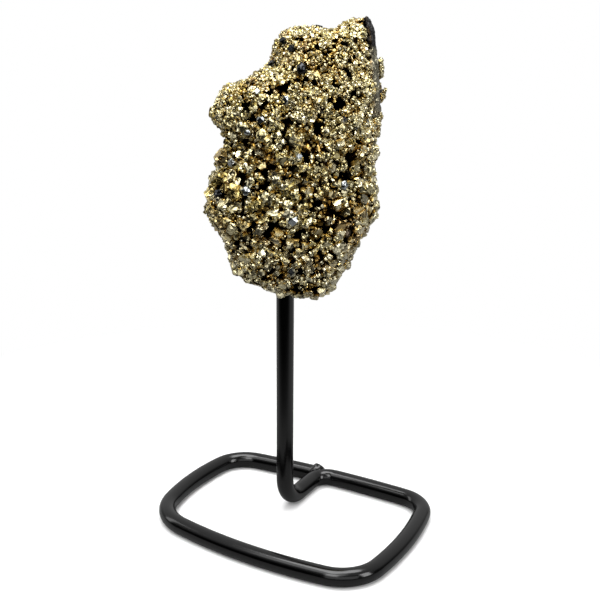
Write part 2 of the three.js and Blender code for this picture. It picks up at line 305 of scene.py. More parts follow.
# --- The stone ------------------------------------------------------------------------
# One natural lump: a mass of dull, dark pyrite and matrix, broken flat on its back and right
# edge where it left the vein. It is drilled from below and glued on the rod.
FACE_TURN = math.radians(29.2)
SECTIONS = np.array([
    # left edge: across, up; right edge: across, up; reach in front of the rod's axis, behind it
    (8.2, 72.2, 8.2, 72.2, 0, 0),
    (-1, 73.5, 13.2, 73, 7.2, 7),
    (-12.7, 77.4, 15.4, 76.8, 10.6, 9.5),
    (-15.9, 82.2, 18.2, 82, 12.4, 11.5),
    (-18, 89.5, 21.8, 88.5, 13.4, 12.5),
    (-22.6, 96.6, 24.8, 94.5, 14.2, 13.2),
    (-22, 103.6, 26.4, 100.4, 14.4, 13.4),
    (-18.2, 111.2, 25, 107.5, 14, 13),
    (-16.8, 117.6, 26.4, 117.5, 13.8, 12.6),
    (-20.3, 124.4, 26.6, 125.5, 13.6, 12.2),
    (-17.2, 131, 27.1, 132, 12.8, 11.4),
    (-9.6, 134.9, 26.7, 137.4, 11.4, 10.4),
    (-4.3, 139.2, 25.5, 141.2, 9.8, 9),
    (-2.6, 144.4, 24.7, 146, 7.8, 7.4),
    (2.2, 148, 23.9, 149.5, 4.4, 4.4),
    (22.4, 151.1, 22.4, 151.1, 0, 0),
])
SECTION_POWER = 2.5  # 2 would be an ellipse, higher is squarer
SADDLE_AT, SADDLE_WIDTH, SADDLE_DEPTH = 12.6, 4.4, 2.1  # a dip in the crown
SADDLE_FROM, SADDLE_TO = 141, 148
FRACTURES = (
    # a point on each flat break, and the way it faces
    ((0, 11.2, 100), (0.06, 1, -0.04)),
    ((12, 10.4, 118), (0.34, 0.92, 0.16)),
    ((-12, 10, 96), (-0.42, 0.9, -0.06)),
    ((2, 8.4, 138), (-0.06, 0.93, 0.36)),
    ((2, 9, 80), (0.02, 0.9, -0.42)),
    ((25, 1, 143), (0.95, 0.12, 0.3)),
)
HOLLOWS = np.array([
    # across, up, radius, depth
    (14.5, 127.7, 2.9, 4.2),
    (9.1, 124.4, 1.8, 3.2),
    (-0.2, 132.4, 2.6, 3.2),
    (-6.2, 116.5, 2.1, 3.6),
    (14.7, 115.6, 2.3, 4.0),
    (-16.6, 103.3, 2.0, 3.4),
    (-4.7, 98.5, 2.6, 3.6),
    (4.4, 92.0, 2.3, 3.6),
    (9.5, 86.5, 2.2, 3.4),
    (-5.0, 81.7, 2.1, 3.0),
    (5.2, 81.5, 1.7, 2.6),
    (-9.5, 95.8, 1.9, 2.8),
    (-13.5, 115.5, 1.7, 2.8),
    (-4.9, 110.3, 2.0, 3.0),
    (20.6, 130.6, 1.6, 3.0),
    (20.1, 117.7, 1.9, 3.0),
    (17.1, 113.5, 1.8, 3.2),
    (4.9, 142.4, 1.4, 2.2),
    (12.1, 94.8, 1.7, 2.6),
    (-9.0, 124.3, 1.6, 2.4),
    (-4.3, 126.8, 1.7, 2.8),
    (0.8, 123.8, 1.7, 2.4),
    (4.3, 105.5, 1.9, 2.6),
])
SKIN = 0.35  # the smooth lump lies this far inside its sections, under the crystals, mm
CORE = (4.0, -1.0)  # the lump swells away from an upright line here
CORE_FOOT, CORE_TOP = 84, 140
CUT_SHARE = 0.94  # how much of the lump beyond a break is gone
FACE_DEPTH = 2  # how far behind the rod's axis the crystal face's hollows reach
GAP_WIDTH = 0.145  # as a share of the noise's range
KNOB_ACROSS, KNOB_UP, KNOB_RISE = -18.5, 111.6, 1.2  # a knob on the left edge, at the waist
LOBES = ((-17, 126, 7, 8), (-20, 98, 5, 8))  # across, up, half width, half height
PEAK = 151
BAND_TOP, BAND_FOOT, BAND_LEAN, BAND_WIDTH = 22.9, 25.2, 0.12, 1.15
BAND_MARGIN = 0.45
BAND_STAND = 0.55  # how far the band stands out from the smooth lump, to meet the crystals
CRACK_WIDTH, CRACK_DEPTH = 0.4, 1.8
FRINGE_RISE = 0.3
DIP_UP, DIP_WIDTH, DIP_FILL = 132.7, 1.6, 0.9  # the fringe fills a dip in the crust


def through(knots, along):
    """Catmull-Rom line through the knots, which are evenly spaced in along, from 0 to 1."""
    place = np.clip(along, 0, 1) * (len(knots) - 1)
    step = np.minimum(place.astype(int), len(knots) - 2)
    t = (place - step)[..., None]
    padded = np.concatenate([[2 * knots[0] - knots[1]], knots, [2 * knots[-1] - knots[-2]]])
    a, b, c, d = (padded[step + k] for k in range(4))
    square, cube = 2 * a - 5 * b + 4 * c - d, 3 * b - a - 3 * c + d
    return 0.5 * (2 * b + (c - a) * t + square * t**2 + cube * t**3)


def lattice_noise(points, size, seed):
    """Smooth noise from -1 to 1: random values on a cubic lattice of this size, blended
    between the eight nearest lattice points with a smooth step."""
    table = np.random.default_rng(seed).uniform(-1, 1, (32, 32, 32))
    cell = points / size
    low = np.floor(cell).astype(int)
    t = cell - low
    t = t * t * (3 - 2 * t)
    total = 0
    for corner in np.ndindex(2, 2, 2):
        weight = np.prod(np.where(np.array(corner) == 1, t, 1 - t), axis=-1)
        i, j, k = np.moveaxis((low + corner) % 32, -1, 0)
        total = total + weight * table[i, j, k]
    return total


def wave(value, length, shift):
    """A sine wave of this length."""
    return np.sin(2 * np.pi * value / length + shift)


def ramp_up(value, low, high):
    """0 below low, 1 above high, and a straight line between."""
    return np.clip((value - low) / (high - low), 0, 1)


def lump(rise, turn):
    """The lump's surface in mm, with X across its crystal face, Y to its back and the rod's
    axis on Z: level sections between a left and a right edge, each a squared ellipse that
    reaches further in front or behind, then a dip in the crown, swells that are products of
    sine waves, and the flat breaks. Also gives how far each place is beyond a break."""
    rows = through(SECTIONS, rise)
    left = np.stack([rows[..., 0], 0 * rise, rows[..., 1]], -1)
    right = np.stack([rows[..., 2], 0 * rise, rows[..., 3]], -1)
    cosine, sine = np.cos(2 * np.pi * turn), np.sin(2 * np.pi * turn)
    across = np.sign(cosine) * np.abs(cosine) ** (2 / SECTION_POWER)
    inward = np.sign(sine) * np.abs(sine) ** (2 / SECTION_POWER)
    reach = np.maximum(0, np.where(inward < 0, rows[..., 4], rows[..., 5]))
    p = (left + right) / 2 + (right - left) / 2 * across[..., None]
    p[..., 1] += inward * reach
    rising = ramp_up(p[..., 2], SADDLE_FROM, SADDLE_TO)
    dip = np.exp(-(((p[..., 0] - SADDLE_AT) / SADDLE_WIDTH) ** 2)) * rising**2 * (3 - 2 * rising)
    p[..., 2] -= SADDLE_DEPTH * dip

    core = np.stack([0 * rise + CORE[0], 0 * rise + CORE[1], np.clip(p[..., 2], CORE_FOOT, CORE_TOP)], -1)
    outward = p - core
    outward /= np.linalg.norm(outward, axis=-1)[..., None]
    x, y, z = np.moveaxis(p, -1, 0)
    broad = wave(x + 0.4 * z, 13, 0.6) * wave(z - 0.3 * x, 11, 1.9)
    fine = wave(x + 0.7 * y, 6.1, 2.2) * wave(z + 0.5 * y, 5.3, 0.4)
    swell = np.sin(np.pi * rise) * (0.55 * broad + 0.35 * fine)
    p = p + outward * (swell - SKIN)[..., None]
    broken = np.zeros_like(rise)
    for place, facing in FRACTURES:
        facing = np.array(facing) / np.linalg.norm(facing)
        beyond = np.maximum(0, (p - place) @ facing)
        p = p - CUT_SHARE * beyond[..., None] * facing
        broken = np.maximum(broken, beyond)
    return p, broken


def coarseness(points):
    """How coarse the crystals are at a place, from 0 to 1: fine over the top right and the
    two lobes on the left, coarse across the middle, and a little less so at the foot."""
    x, _, z = np.moveaxis(points, -1, 0)
    middle = ramp_up(134 - z - 0.3 * x, 0, 16)
    lobes = sum(np.exp(-(((x - a) / wide) ** 2) - ((z - up) / high) ** 2) for a, up, wide, high in LOBES)
    return np.clip(middle - 0.6 * lobes, 0, 1) * (0.85 + 0.15 * ramp_up(z, 76, 88))


def hollow(points):
    """How deep the open hollows are, in mm: the larger ones at their places on the crystal
    face, with ragged rims; small ones, and pits among the fine crystals, wherever a noise is
    high; and crooked gaps along a noise's zero line, deepest where the crystals are coarse."""
    wobble = 0.55 + 0.45 * lattice_noise(points, 1.5, 5) + 0.3 * lattice_noise(points, 0.9, 16)
    away = np.hypot(points[..., None, 0] - HOLLOWS[:, 0], points[..., None, 2] - HOLLOWS[:, 1])
    inside = np.exp(-((away / (HOLLOWS[:, 2] * wobble[..., None])) ** 6))
    large = (inside * HOLLOWS[:, 3]).max(-1) * (points[..., 1] < FACE_DEPTH)
    coarse = coarseness(points)
    small = 2.4 * ramp_up(lattice_noise(points, 1.45, 3) + 0.25 * coarse, 0.56, 0.64)
    pits = 1.8 * ramp_up(lattice_noise(points, 0.95, 17) - 0.5 * coarse, 0.42, 0.5)
    gaps = 2.4 * ramp_up(GAP_WIDTH - np.abs(lattice_noise(points, 2.6, 7)), 0, 0.03) * (0.2 + 0.9 * coarse)
    gaps *= ramp_up(lattice_noise(points, 4.1, 8), -0.3, 0)
    return np.max([large, small, pits, gaps], axis=0)


def split_band(points):
    """A smooth band down the right edge, where the lump was split off its neighbour: how far
    inside it each place is, from 0 to 1, the open crack along its outer side, the wider strip
    that is clear of crystals, and the fringe of crystals behind the crack."""
    x, y, z = np.moveaxis(points, -1, 0)
    middle = np.minimum(BAND_TOP + BAND_LEAN * (PEAK - z), BAND_FOOT)
    off = x - middle - 0.25 * lattice_noise(points, 2.2, 14)
    reach = ramp_up(z, 123, 127) * ramp_up(3 - y, 0, 2)
    crack = np.exp(-(((off - BAND_WIDTH) / CRACK_WIDTH) ** 4)) * ramp_up(z, 127, 130) * ramp_up(146 - z, 0, 2)
    clear = np.exp(-((off / (BAND_WIDTH + BAND_MARGIN)) ** 12))
    fringe = ramp_up(x, 20, 23) * ramp_up(8 - y, 0, 2) * ramp_up(z, 124, 126) * ramp_up(140.5 - z, 0, 1)
    return np.exp(-((off / BAND_WIDTH) ** 6)) * reach, crack * reach, clear * reach, fringe


def relief(points):
    """How the crust rises and falls over the lump, in mm: clumps of crystals a few
    millimetres wide, with smaller clumps on them, and one knob that fills out the waist."""
    x, _, z = np.moveaxis(points, -1, 0)
    clumps = 0.9 * lattice_noise(points, 2.3, 4) * (0.35 + 0.65 * coarseness(points))
    knob = KNOB_RISE * np.exp(-(((x - KNOB_ACROSS) / 3) ** 4) - ((z - KNOB_UP) / 2.9) ** 4)
    return clumps + 0.4 * lattice_noise(points, 1.05, 1) + knob


def to_frame(points):
    """From the stone's own millimetres to the frame's metres: turned about the rod's axis."""
    c, s = math.cos(FACE_TURN), math.sin(FACE_TURN)
    x, y, z = np.moveaxis(points, -1, 0) * MM
    return np.stack([UPRIGHT[0] + c * x - s * y, UPRIGHT[1] + s * x + c * y, z], -1)


def surface_normals(points):
    """Unit normals of a grid of points, from the cross product of its two directions."""
    along = np.gradient(points, axis=0)
    across = np.roll(points, -1, axis=1) - np.roll(points, 1, axis=1)
    normals = np.cross(across, along)
    return normals / np.maximum(np.linalg.norm(normals, axis=-1), 1e-12)[..., None]


def stone_grid(rows, columns):
    """A grid over the lump, closed at its top and bottom, with its rows a little closer there.
    Gives the smooth lump, its normals, how far the crust stands over it, how deep its hollows
    are, how much it is bare matrix and how much it is the smooth band. The crust is relief
    less hollows; matrix lies lower, split in steps; the band is level, with a crack beside it;
    and the fringe stands out."""
    even = np.linspace(0, 1, rows)
    eased = 0.5 - 0.5 * np.cos(np.pi * even)
    sides = np.linspace(0, 1, columns, endpoint=False)
    rise, turn = np.meshgrid((eased + 2 * even) / 3, sides, indexing="ij")
    points, broken = lump(rise, turn)
    normals = surface_normals(points)
    normals[0], normals[-1] = (0, 0, -1), (0, 0, 1)
    ragged = 0.7 * lattice_noise(points, 3.1, 6) + 0.3 * lattice_noise(points, 1.3, 9)
    band, crack, clear, fringe = split_band(points)
    bare = ramp_up(broken + ragged * ramp_up(broken, 0, 0.4), 0.5, 0.85) * (1 - fringe)
    split = 0.6 * lattice_noise(points, 5, 12) + 0.4 * lattice_noise(points, 1.7, 13)
    split += 0.2 * lattice_noise(points, 0.8, 15)
    grit = 0.12 * lattice_noise(points, 0.6, 2)
    hollows = hollow(points) * (1 - bare) * (1 - band) * (1 - fringe)
    height = (1 - bare) * (1 - 0.85 * fringe) * relief(points) - hollows + bare * (split - 0.6) + grit
    filled = DIP_FILL * np.exp(-(((points[..., 2] - DIP_UP) / DIP_WIDTH) ** 4))
    height += fringe * (FRINGE_RISE + filled)
    smooth = BAND_STAND + 1.5 * grit + 0.3 * split
    height = height * (1 - band) + band * smooth - CRACK_DEPTH * crack
    hollows = np.maximum(hollows, 2 * clear)
    return points, normals, height, hollows, np.maximum(bare, crack), band


def closed_grid(points, rows, columns):
    """The points and faces of a grid whose first and last rows each shrink to one point."""
    grid = points.reshape(rows, columns, 3)
    inner = grid[1:-1].reshape(-1, 3)
    foot, peak = len(inner), len(inner) + 1
    last = (rows - 3) * columns
    around = np.arange(columns)
    beyond = (around + 1) % columns
    fans = [np.stack([np.full(columns, foot), beyond, around], -1)]
    fans.append(np.stack([np.full(columns, peak), last + around, last + beyond], -1))
    faces = grid_faces(rows - 2, columns).tolist() + np.concatenate(fans).tolist()
    return np.concatenate([inner, grid[0, :1], grid[-1, :1]]), faces


def closed_values(values):
    """One value for each point that closed_grid keeps."""
    return np.concatenate([values[1:-1].ravel(), values[0, :1], values[-1, :1]])


def add_attribute(mesh, name, values):
    """Stores one number for each point of the mesh, for its material to read."""
    mesh.attributes.new(name, "FLOAT", "POINT").data.foreach_set("value", values.astype(np.float32).ravel())


def attribute(tree, name, kind="Fac"):
    """One of the mesh's own attributes, as a socket."""
    node = tree.nodes.new("ShaderNodeAttribute")
    node.attribute_name = name
    return node.outputs[kind]


def blended(tree, share, first, second, how="MIX"):
    """Two colours put together. The share, and each colour, is a socket or a value."""
    node = tree.nodes.new("ShaderNodeMix")
    node.data_type = "RGBA"
    node.blend_type = how
    sockets = (node.inputs[0], share), (node.inputs[6], first), (node.inputs[7], second)
    for socket, value in sockets:
        if isinstance(value, tuple):
            socket.default_value = (*value, 1)
        elif isinstance(value, (int, float)):
            socket.default_value = value
        else:
            tree.links.new(value, socket)
    return node.outputs[2]


def vector_math(tree, operation, *values):
    """A sum on vectors. Each value is a socket, or a vector of numbers."""
    node = tree.nodes.new("ShaderNodeVectorMath")
    node.operation = operation
    for socket, value in zip(node.inputs, values):
        if isinstance(value, tuple):
            socket.default_value = value
        else:
            tree.links.new(value, socket)
    return node


def chipped(tree, place, scale, tilt):
    """A surface broken into small flat chips: the cells of a random point pattern, each with a
    tilt of its own added to the surface's normal. Also gives how far each place is from the
    nearest edge between two chips."""
    cells = tree.nodes.new("ShaderNodeTexVoronoi")
    edges = tree.nodes.new("ShaderNodeTexVoronoi")
    edges.feature = "DISTANCE_TO_EDGE"
    for texture in (cells, edges):
        texture.inputs["Scale"].default_value = scale
        tree.links.new(place, texture.inputs["Vector"])
    centred = vector_math(tree, "SUBTRACT", cells.outputs["Color"], (0.5, 0.5, 0.5))
    turned = vector_math(tree, "SCALE", centred.outputs[0])
    tree.links.new(tilt, turned.inputs["Scale"])
    normal = tree.nodes.new("ShaderNodeNewGeometry").outputs["Normal"]
    total = vector_math(tree, "ADD", turned.outputs[0], normal)
    unit = vector_math(tree, "NORMALIZE", total.outputs[0])
    return unit.outputs[0], edges.outputs["Distance"]


# How pyrite darkens from the tips of the crystals down to the bottom of the gaps between them,
# as painted shade: clean, then brown, partly tarnish and partly painted shade, then painted black
# shade. Heights are in mm over the smooth lump. The ground between the crystals gets the painted
# shade of a crystal that much lower.
GAP_BOTTOM, TIP = -2.0, 0.9
GROUND_LOWER = 0.95
GAP_PAINTED_SHADE = [
    (0.0, (0.001, 0.001, 0.0)),
    (0.43, (0.012, 0.005, 0.001)),
    (0.54, (0.42, 0.27, 0.08)),
    (0.66, (0.82, 0.67, 0.38)),
    (0.8, (1, 1, 1)),
]
# Painted shade in the creases between chips: darker at a chip's edge, for the first bit inwards.
SEAM_PAINTED_SHADE = [(0.0, (0.25, 0.2, 0.12)), (0.09, (1, 1, 1))]  # from the edge of a chip inwards
CRUST = (0.56, 0.48, 0.24)
CHARCOAL_GRAIN = [(0.3, (0.012, 0.012, 0.013)), (0.7, (0.05, 0.049, 0.048))]
MASSIVE_GRAIN = [(0.3, (0.1, 0.085, 0.045)), (0.7, (0.34, 0.3, 0.18))]
FLECK = (0.6, 0.5, 0.26)
OLIVE_BAND, CHARCOAL_BAND = (0.36, 0.34, 0.25), (0.035, 0.035, 0.036)
OLIVE_TOP, CHARCOAL_FROM = 142.6 * MM, 143.8 * MM  # the band is charcoal at the peak
WORN_GRAIN = [(0.3, (0.6, 0.58, 0.55)), (0.7, (1, 1, 1))]


def stone_material():
    """Crystalline pyrite with painted shade down in its hollows and along the edges of its chips:
    brown, partly tarnish, and then black. On the breaks it is charcoal matrix, with a dull brassy
    grain where the break ran through massive pyrite."""
    material, tree, shader = new_material("broken_matrix")
    place = tree.nodes.new("ShaderNodeTexCoord").outputs["Object"]
    bare = attribute(tree, "bare")
    height = attribute(tree, "height")
    grain = noise(tree, place, 900, 6)
    patches = noise(tree, place, 110, 8)
    flecks = number_range(tree, noise(tree, place, 1300, 2), 0, 1, 0.63, 0.66)
    depth = number_range(tree, height, 0, 1, GAP_BOTTOM + GROUND_LOWER, TIP + GROUND_LOWER)
    # painted shade: darker down in the hollows and between the crystals
    shade = colour_ramp(tree, depth, GAP_PAINTED_SHADE)
    crust = blended(tree, 1.0, shade, CRUST, "MULTIPLY")
    charcoal = colour_ramp(tree, grain, CHARCOAL_GRAIN)
    massive = colour_ramp(tree, grain, MASSIVE_GRAIN)
    massive_share = number_range(tree, patches, 0, 1, 0.48, 0.53)
    broken = blended(tree, massive_share, charcoal, massive)
    broken = blended(tree, flecks, broken, FLECK)
    metal_share = blended(tree, flecks, massive_share, (1.0, 1.0, 1.0))
    band = attribute(tree, "band")
    upper = tree.nodes.new("ShaderNodeSeparateXYZ")
    tree.links.new(place, upper.inputs[0])
    rising = number_range(tree, upper.outputs["Z"], 0, 1, OLIVE_TOP, CHARCOAL_FROM)
    worn = blended(tree, rising, OLIVE_BAND, CHARCOAL_BAND)
    worn = blended(tree, 1.0, worn, colour_ramp(tree, grain, WORN_GRAIN), "MULTIPLY")
    covered = number_range(tree, bare, 1.0, 0.45)
    normal, from_edge = chipped(tree, place, 1100, covered)
    # painted shade along the edges between the chips
    seam = colour_ramp(tree, from_edge, SEAM_PAINTED_SHADE)
    crust = blended(tree, 1.0, crust, seam, "MULTIPLY")
    ground = blended(tree, bare, crust, broken)
    tree.links.new(blended(tree, band, ground, worn), shader.inputs["Base Color"])
    tree.links.new(blended(tree, bare, (1.0, 1.0, 1.0), metal_share), shader.inputs["Metallic"])
    tree.links.new(number_range(tree, grain, 0.15, 0.5, 0.3, 0.7), shader.inputs["Roughness"])
    bumped(tree, grain, 0.5, 0.4 * MM, shader, normal)
    return material


STONE_ROWS, STONE_COLUMNS = 300, 328
lump_grid = stone_grid(STONE_ROWS, STONE_COLUMNS)
lump_points, lump_normals, crust_height, crust_hollow, crust_bare, crust_band = lump_grid
crust = lump_points + lump_normals * crust_height[..., None]
mass = mesh_piece("stone_mass", *closed_grid(to_frame(crust), STONE_ROWS, STONE_COLUMNS), smooth=False)
add_attribute(mass.data, "bare", closed_values(crust_bare))
add_attribute(mass.data, "height", closed_values(crust_height))
add_attribute(mass.data, "band", closed_values(crust_band))
mass.data.materials.append(stone_material())
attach(mass, "root")
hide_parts("pyrite_specimen")

# --- The pyrite crystals --------------------------------------------------------------
# Iron sulphide crystals of a pale brass colour, grown on the lump and into one another: fine
# ones over the top and the lobes, and coarse knobs with fine ones between them elsewhere.
CRYSTAL_SEED = 11
ROUNDED_SHARE = 0.3  # of the crystals: their edges are rounded over


def hull(points):
    """The triangles of the smallest convex solid round these points, as two arrays, with its
    furthest corner at distance 1."""
    shape = bmesh.new()
    for point in sorted(set(points)):
        shape.verts.new(point)
    bmesh.ops.convex_hull(shape, input=shape.verts)
    shape.verts.index_update()
    corners = np.array([vert.co[:] for vert in shape.verts])
    faces = np.array([[vert.index for vert in face.verts] for face in shape.faces])
    shape.free()
    return corners / np.linalg.norm(corners, axis=1).max(), faces


def signed(x, y, z):
    """The point with every choice of signs."""
    return [(x * (1 - 2 * i), y * (1 - 2 * j), z * (1 - 2 * k)) for i, j, k in np.ndindex(2, 2, 2)]


def cut_cube(cut):
    """A cube with its corners cut off by the octahedron: cut 1 leaves the cube, 0 takes the
    cuts to the middle of its edges."""
    return hull(signed(1, 1, cut) + signed(1, cut, 1) + signed(cut, 1, 1))


def pyritohedron():
    """Twelve five-sided faces, the {210} form."""
    return hull(signed(1, 1, 1) + signed(0, 1.5, 0.75) + signed(1.5, 0.75, 0) + signed(0.75, 0, 1.5))


def random_turns(random, count):
    """Rotation matrices spread evenly over all turns, from unit quaternions."""
    q = random.normal(size=(count, 4))
    w, x, y, z = (q / np.linalg.norm(q, axis=1)[:, None]).T
    rows = [
        [1 - 2 * (y * y + z * z), 2 * (x * y - w * z), 2 * (x * z + w * y)],
        [2 * (x * y + w * z), 1 - 2 * (x * x + z * z), 2 * (y * z - w * x)],
        [2 * (x * z - w * y), 2 * (y * z + w * x), 1 - 2 * (x * x + y * y)],
    ]
    return np.moveaxis(np.array(rows), -1, 0)


def scattered(random, density, count):
    """Places on the smooth lump, with its normals and the crust's height there, picked evenly
    for the crust's area times a density: a cumulative sum of the cells' areas is cut at evenly
    spaced, jittered values."""
    east = np.roll(lump_points, -1, axis=1) - lump_points
    north = np.gradient(lump_points, axis=0)
    area = np.linalg.norm(np.cross(east, north), axis=-1) * density
    total = np.cumsum(area.ravel())
    picks = (np.arange(count) + random.uniform(0, 1, count)) / count * total[-1]
    cell = np.minimum(np.searchsorted(total, picks), total.size - 1)
    row, column = np.unravel_index(cell, area.shape)
    shift = random.uniform(-0.5, 0.5, (2, count, 1))
    place = lump_points[row, column] + shift[0] * east[row, column] + shift[1] * north[row, column]
    return place, lump_normals[row, column], crust_height[row, column]


def spaced_out(places, radii, share):
    """Which places to keep so that neighbours stand at least a share of their two radii
    apart. The largest come first. In each of eight rounds a place stays if no earlier one that
    is still in question, and no kept one, is too near."""
    order = np.argsort(-radii)
    p, r = places[order].astype(np.float32), radii[order].astype(np.float32)
    squares = (p**2).sum(1)
    apart = squares[:, None] + squares[None] - 2 * p @ p.T
    near = apart < (share * (r[:, None] + r[None])) ** 2
    before = np.tril(np.ones_like(near), -1)
    kept = np.zeros(len(p), bool)
    open_still = np.ones(len(p), bool)
    for _ in range(8):
        chosen = open_still & ~(near & before & open_still[None]).any(1)
        kept |= chosen
        open_still &= ~chosen & ~(near & chosen[None]).any(1)
    return order[kept]


def crystal_piece(name, random, habits, shares, parts):
    """One joined mesh of many crystals: each habit's corners are stretched a little, turned,
    scaled and moved to their centres. Every corner keeps how high it stands over the smooth
    lump, in mm, and where it is in the crystal itself."""
    centres, radii, turns, grounds, normals, tones, stains = parts
    pick = random.choice(len(habits), size=len(radii), p=shares)
    stretch = random.uniform(0.72, 1.28, (len(radii), 3))
    points, faces, marks, grain = [], [], [], []
    start = 0
    for index, (corners, triangles) in enumerate(habits):
        chosen = np.flatnonzero(pick == index)
        own = corners[None] * (radii[chosen, None] * stretch[chosen])[:, None]
        placed = np.einsum("nij,nkj->nki", turns[chosen], own) + centres[chosen, None]
        height = np.einsum("nki,ni->nk", placed - grounds[chosen, None], normals[chosen])
        offsets = start + np.arange(len(chosen)) * len(corners)
        points.append(placed.reshape(-1, 3))
        faces.append((triangles[None] + offsets[:, None, None]).reshape(-1, 3))
        tone = np.outer(tones[chosen], np.ones(len(corners)))
        stain = np.outer(stains[chosen], np.ones(len(corners)))
        marks.append(np.stack([tone, stain, height], -1))
        grain.append((own + random.uniform(-50, 50, (len(chosen), 1, 3))).reshape(-1, 3))
        start += len(chosen) * len(corners)
    points, faces = np.concatenate(points), np.concatenate(faces)
    tone, stain, height = np.concatenate([m.reshape(-1, 3) for m in marks]).T
    mesh = bpy.data.meshes.new(name)
    mesh.vertices.add(len(points))
    mesh.vertices.foreach_set("co", to_frame(points).astype(np.float32).ravel())
    mesh.loops.add(faces.size)
    mesh.loops.foreach_set("vertex_index", faces.astype(np.int32).ravel())
    mesh.polygons.add(len(faces))
    mesh.polygons.foreach_set("loop_start", np.arange(0, faces.size, 3, dtype=np.int32))
    mesh.update(calc_edges=True)
    rounded = random.uniform(0, 1, len(radii)) < ROUNDED_SHARE
    smooth = np.concatenate([np.repeat(rounded[pick == i], len(t)) for i, (_, t) in enumerate(habits)])
    mesh.polygons.foreach_set("use_smooth", smooth)
    add_attribute(mesh, "tone", tone)
    add_attribute(mesh, "tarnish", stain)
    add_attribute(mesh, "height", height)
    own_place = mesh.attributes.new("own_place", "FLOAT_VECTOR", "POINT")
    own_place.data.foreach_set("vector", np.concatenate(grain).astype(np.float32).ravel())
    piece = bpy.data.objects.new(name, mesh)
    bpy.context.collection.objects.link(piece)
    return piece


def pyrite_material(name, gloss, metal_tones, pitting, chips):
    """Pale brass metal. Each crystal has its own tone, from olive to nearly white, and some are
    tarnished orange brown. Lower down, towards the gaps, they get painted shade, brown and then
    black, and where they are chipped, painted shade along the chips' edges. Their faces are pitted,
    with this range of roughness, and in places chipped, with chips of this scale and tilt."""
    material, tree, shader = new_material(name)
    shader.inputs["Metallic"].default_value = 1
    tone = attribute(tree, "tone")
    stain = attribute(tree, "tarnish")
    height = attribute(tree, "height")
    own = attribute(tree, "own_place", "Vector")
    metal = colour_ramp(tree, tone, metal_tones)
    stained = blended(tree, stain, metal, TARNISH)
    depth = number_range(tree, height, 0, 1, GAP_BOTTOM, TIP)
    # painted shade: darker lower down, towards the gaps
    shade = colour_ramp(tree, depth, GAP_PAINTED_SHADE)
    chip_scale, chip_tilt = chips
    tilt = number_range(tree, noise(tree, own, 0.5, 2), 0, chip_tilt, 0.45, 0.56)
    normal, from_edge = chipped(tree, own, chip_scale, tilt)
    # painted shade along the edges between the chips
    seam = colour_ramp(tree, from_edge, SEAM_PAINTED_SHADE)
    seamed = blended(tree, tilt, stained, blended(tree, 1.0, stained, seam, "MULTIPLY"))
    tree.links.new(blended(tree, 1.0, seamed, shade, "MULTIPLY"), shader.inputs["Base Color"])
    pits = noise(tree, own, pitting, 4)
    tree.links.new(number_range(tree, pits, *gloss, 0.3, 0.7), shader.inputs["Roughness"])
    bumped(tree, pits, 0.25, 0.3 * MM, shader, normal)
    return material


TARNISH = (0.4, 0.23, 0.05)
PLAIN_TONES = 0.99  # tones above this are charcoal or silver
KNOB_TONES = [
    (0.0, (0.41, 0.32, 0.1)),
    (0.5, (0.62, 0.55, 0.3)),
    (0.991, (0.85, 0.79, 0.55)),
    (0.992, (0.035, 0.037, 0.04)),
    (0.997, (0.04, 0.042, 0.045)),
    (0.998, (0.42, 0.45, 0.46)),
]
TARNISH_SEED = 9


def stained_share(random, places, heights):
    """How tarnished each crystal is: most in patches, and in the lower parts of the crust."""
    patch = np.clip(lattice_noise(places, 4, TARNISH_SEED), 0, 1)
    most = np.clip(0.9 * patch + 0.35 * ramp_up(-heights, 0.2, 1.5), 0, 0.75)
    return most * random.uniform(0, 1, len(places))


def painted_light_paleness(places):
    """How much paler the crystals are at a place, as a share of the way to the palest: more
    towards the foot and the right side, less towards the top and the left side. This is painted
    light and shade: the paler foot and right side, and the darker top and left side, stand in for
    how the light falls there."""
    x, _, z = places.T
    side = 0.35 * ramp_up(x, 8, 20) - 0.25 * ramp_up(-x, 4, 16)
    return 0.22 + side + 0.5 * ramp_up(102 - z, 0, 16) - 0.3 * ramp_up(z, 126, 138)


KNOB_TRIALS, KNOB_SPACING = 7000, 0.6
TWINS = 3  # crystals in a knob
FINE_CRYSTALS = 7000
PALEST_FINE = 0.97


def knobs(random, room):
    """Coarse knobs, each of a few crystals grown through one another, a little turned and
    shifted. They are scattered where there is room, most where the crust is coarse, and kept
    apart. The larger a knob, the deeper it is sunk. Gives the parts for crystal_piece."""
    density = (0.25 + coarseness(lump_points)) * room
    places, normals, heights = scattered(random, density, KNOB_TRIALS)
    coarse = coarseness(places)
    radii = (0.75 + 0.25 * coarse) + (0.4 + 1.3 * coarse) * random.beta(1.1, 3, KNOB_TRIALS)
    keep = spaced_out(places, radii, KNOB_SPACING)
    places, normals, heights, radii = (values[keep] for values in (places, normals, heights, radii))
    count = len(places) * TWINS
    owner = np.repeat(np.arange(len(places)), TWINS)
    first = np.tile(np.arange(TWINS) == 0, len(places))
    twin_radii = radii[owner] * np.where(first, 1, random.uniform(0.45, 0.85, count))
    drift = random.normal(size=(count, 3))
    drift /= np.linalg.norm(drift, axis=1)[:, None]
    lift = random.uniform(-0.4, 0.35, count)[:, None] * normals[owner]
    shifts = np.where(first[:, None], 0, 0.6 * (drift + lift) * radii[owner, None])
    sunk = heights + 0.25 - 0.6 * radii
    centres = places[owner] + normals[owner] * sunk[owner, None] + shifts
    shared_turns = random_turns(random, len(places))[owner]
    loose = random.uniform(0, 1, count) < 0.5
    turns = np.where(loose[:, None, None], random_turns(random, count), shared_turns)
    stains = stained_share(random, places, heights)
    plain = random.uniform(0, 1, len(places))
    # the tones are paler towards the foot and the right side, and darker at the top and left: painted light
    # and shade
    paler = np.clip(plain + painted_light_paleness(places) * (1 - plain), 0, 1)
    tones = np.clip(paler[owner] + random.normal(0, 0.06, count), 0, PLAIN_TONES)
    tones = np.where(plain[owner] > PLAIN_TONES, plain[owner], tones)
    return [centres, twin_radii, turns, places[owner], normals[owner], tones, stains[owner]]


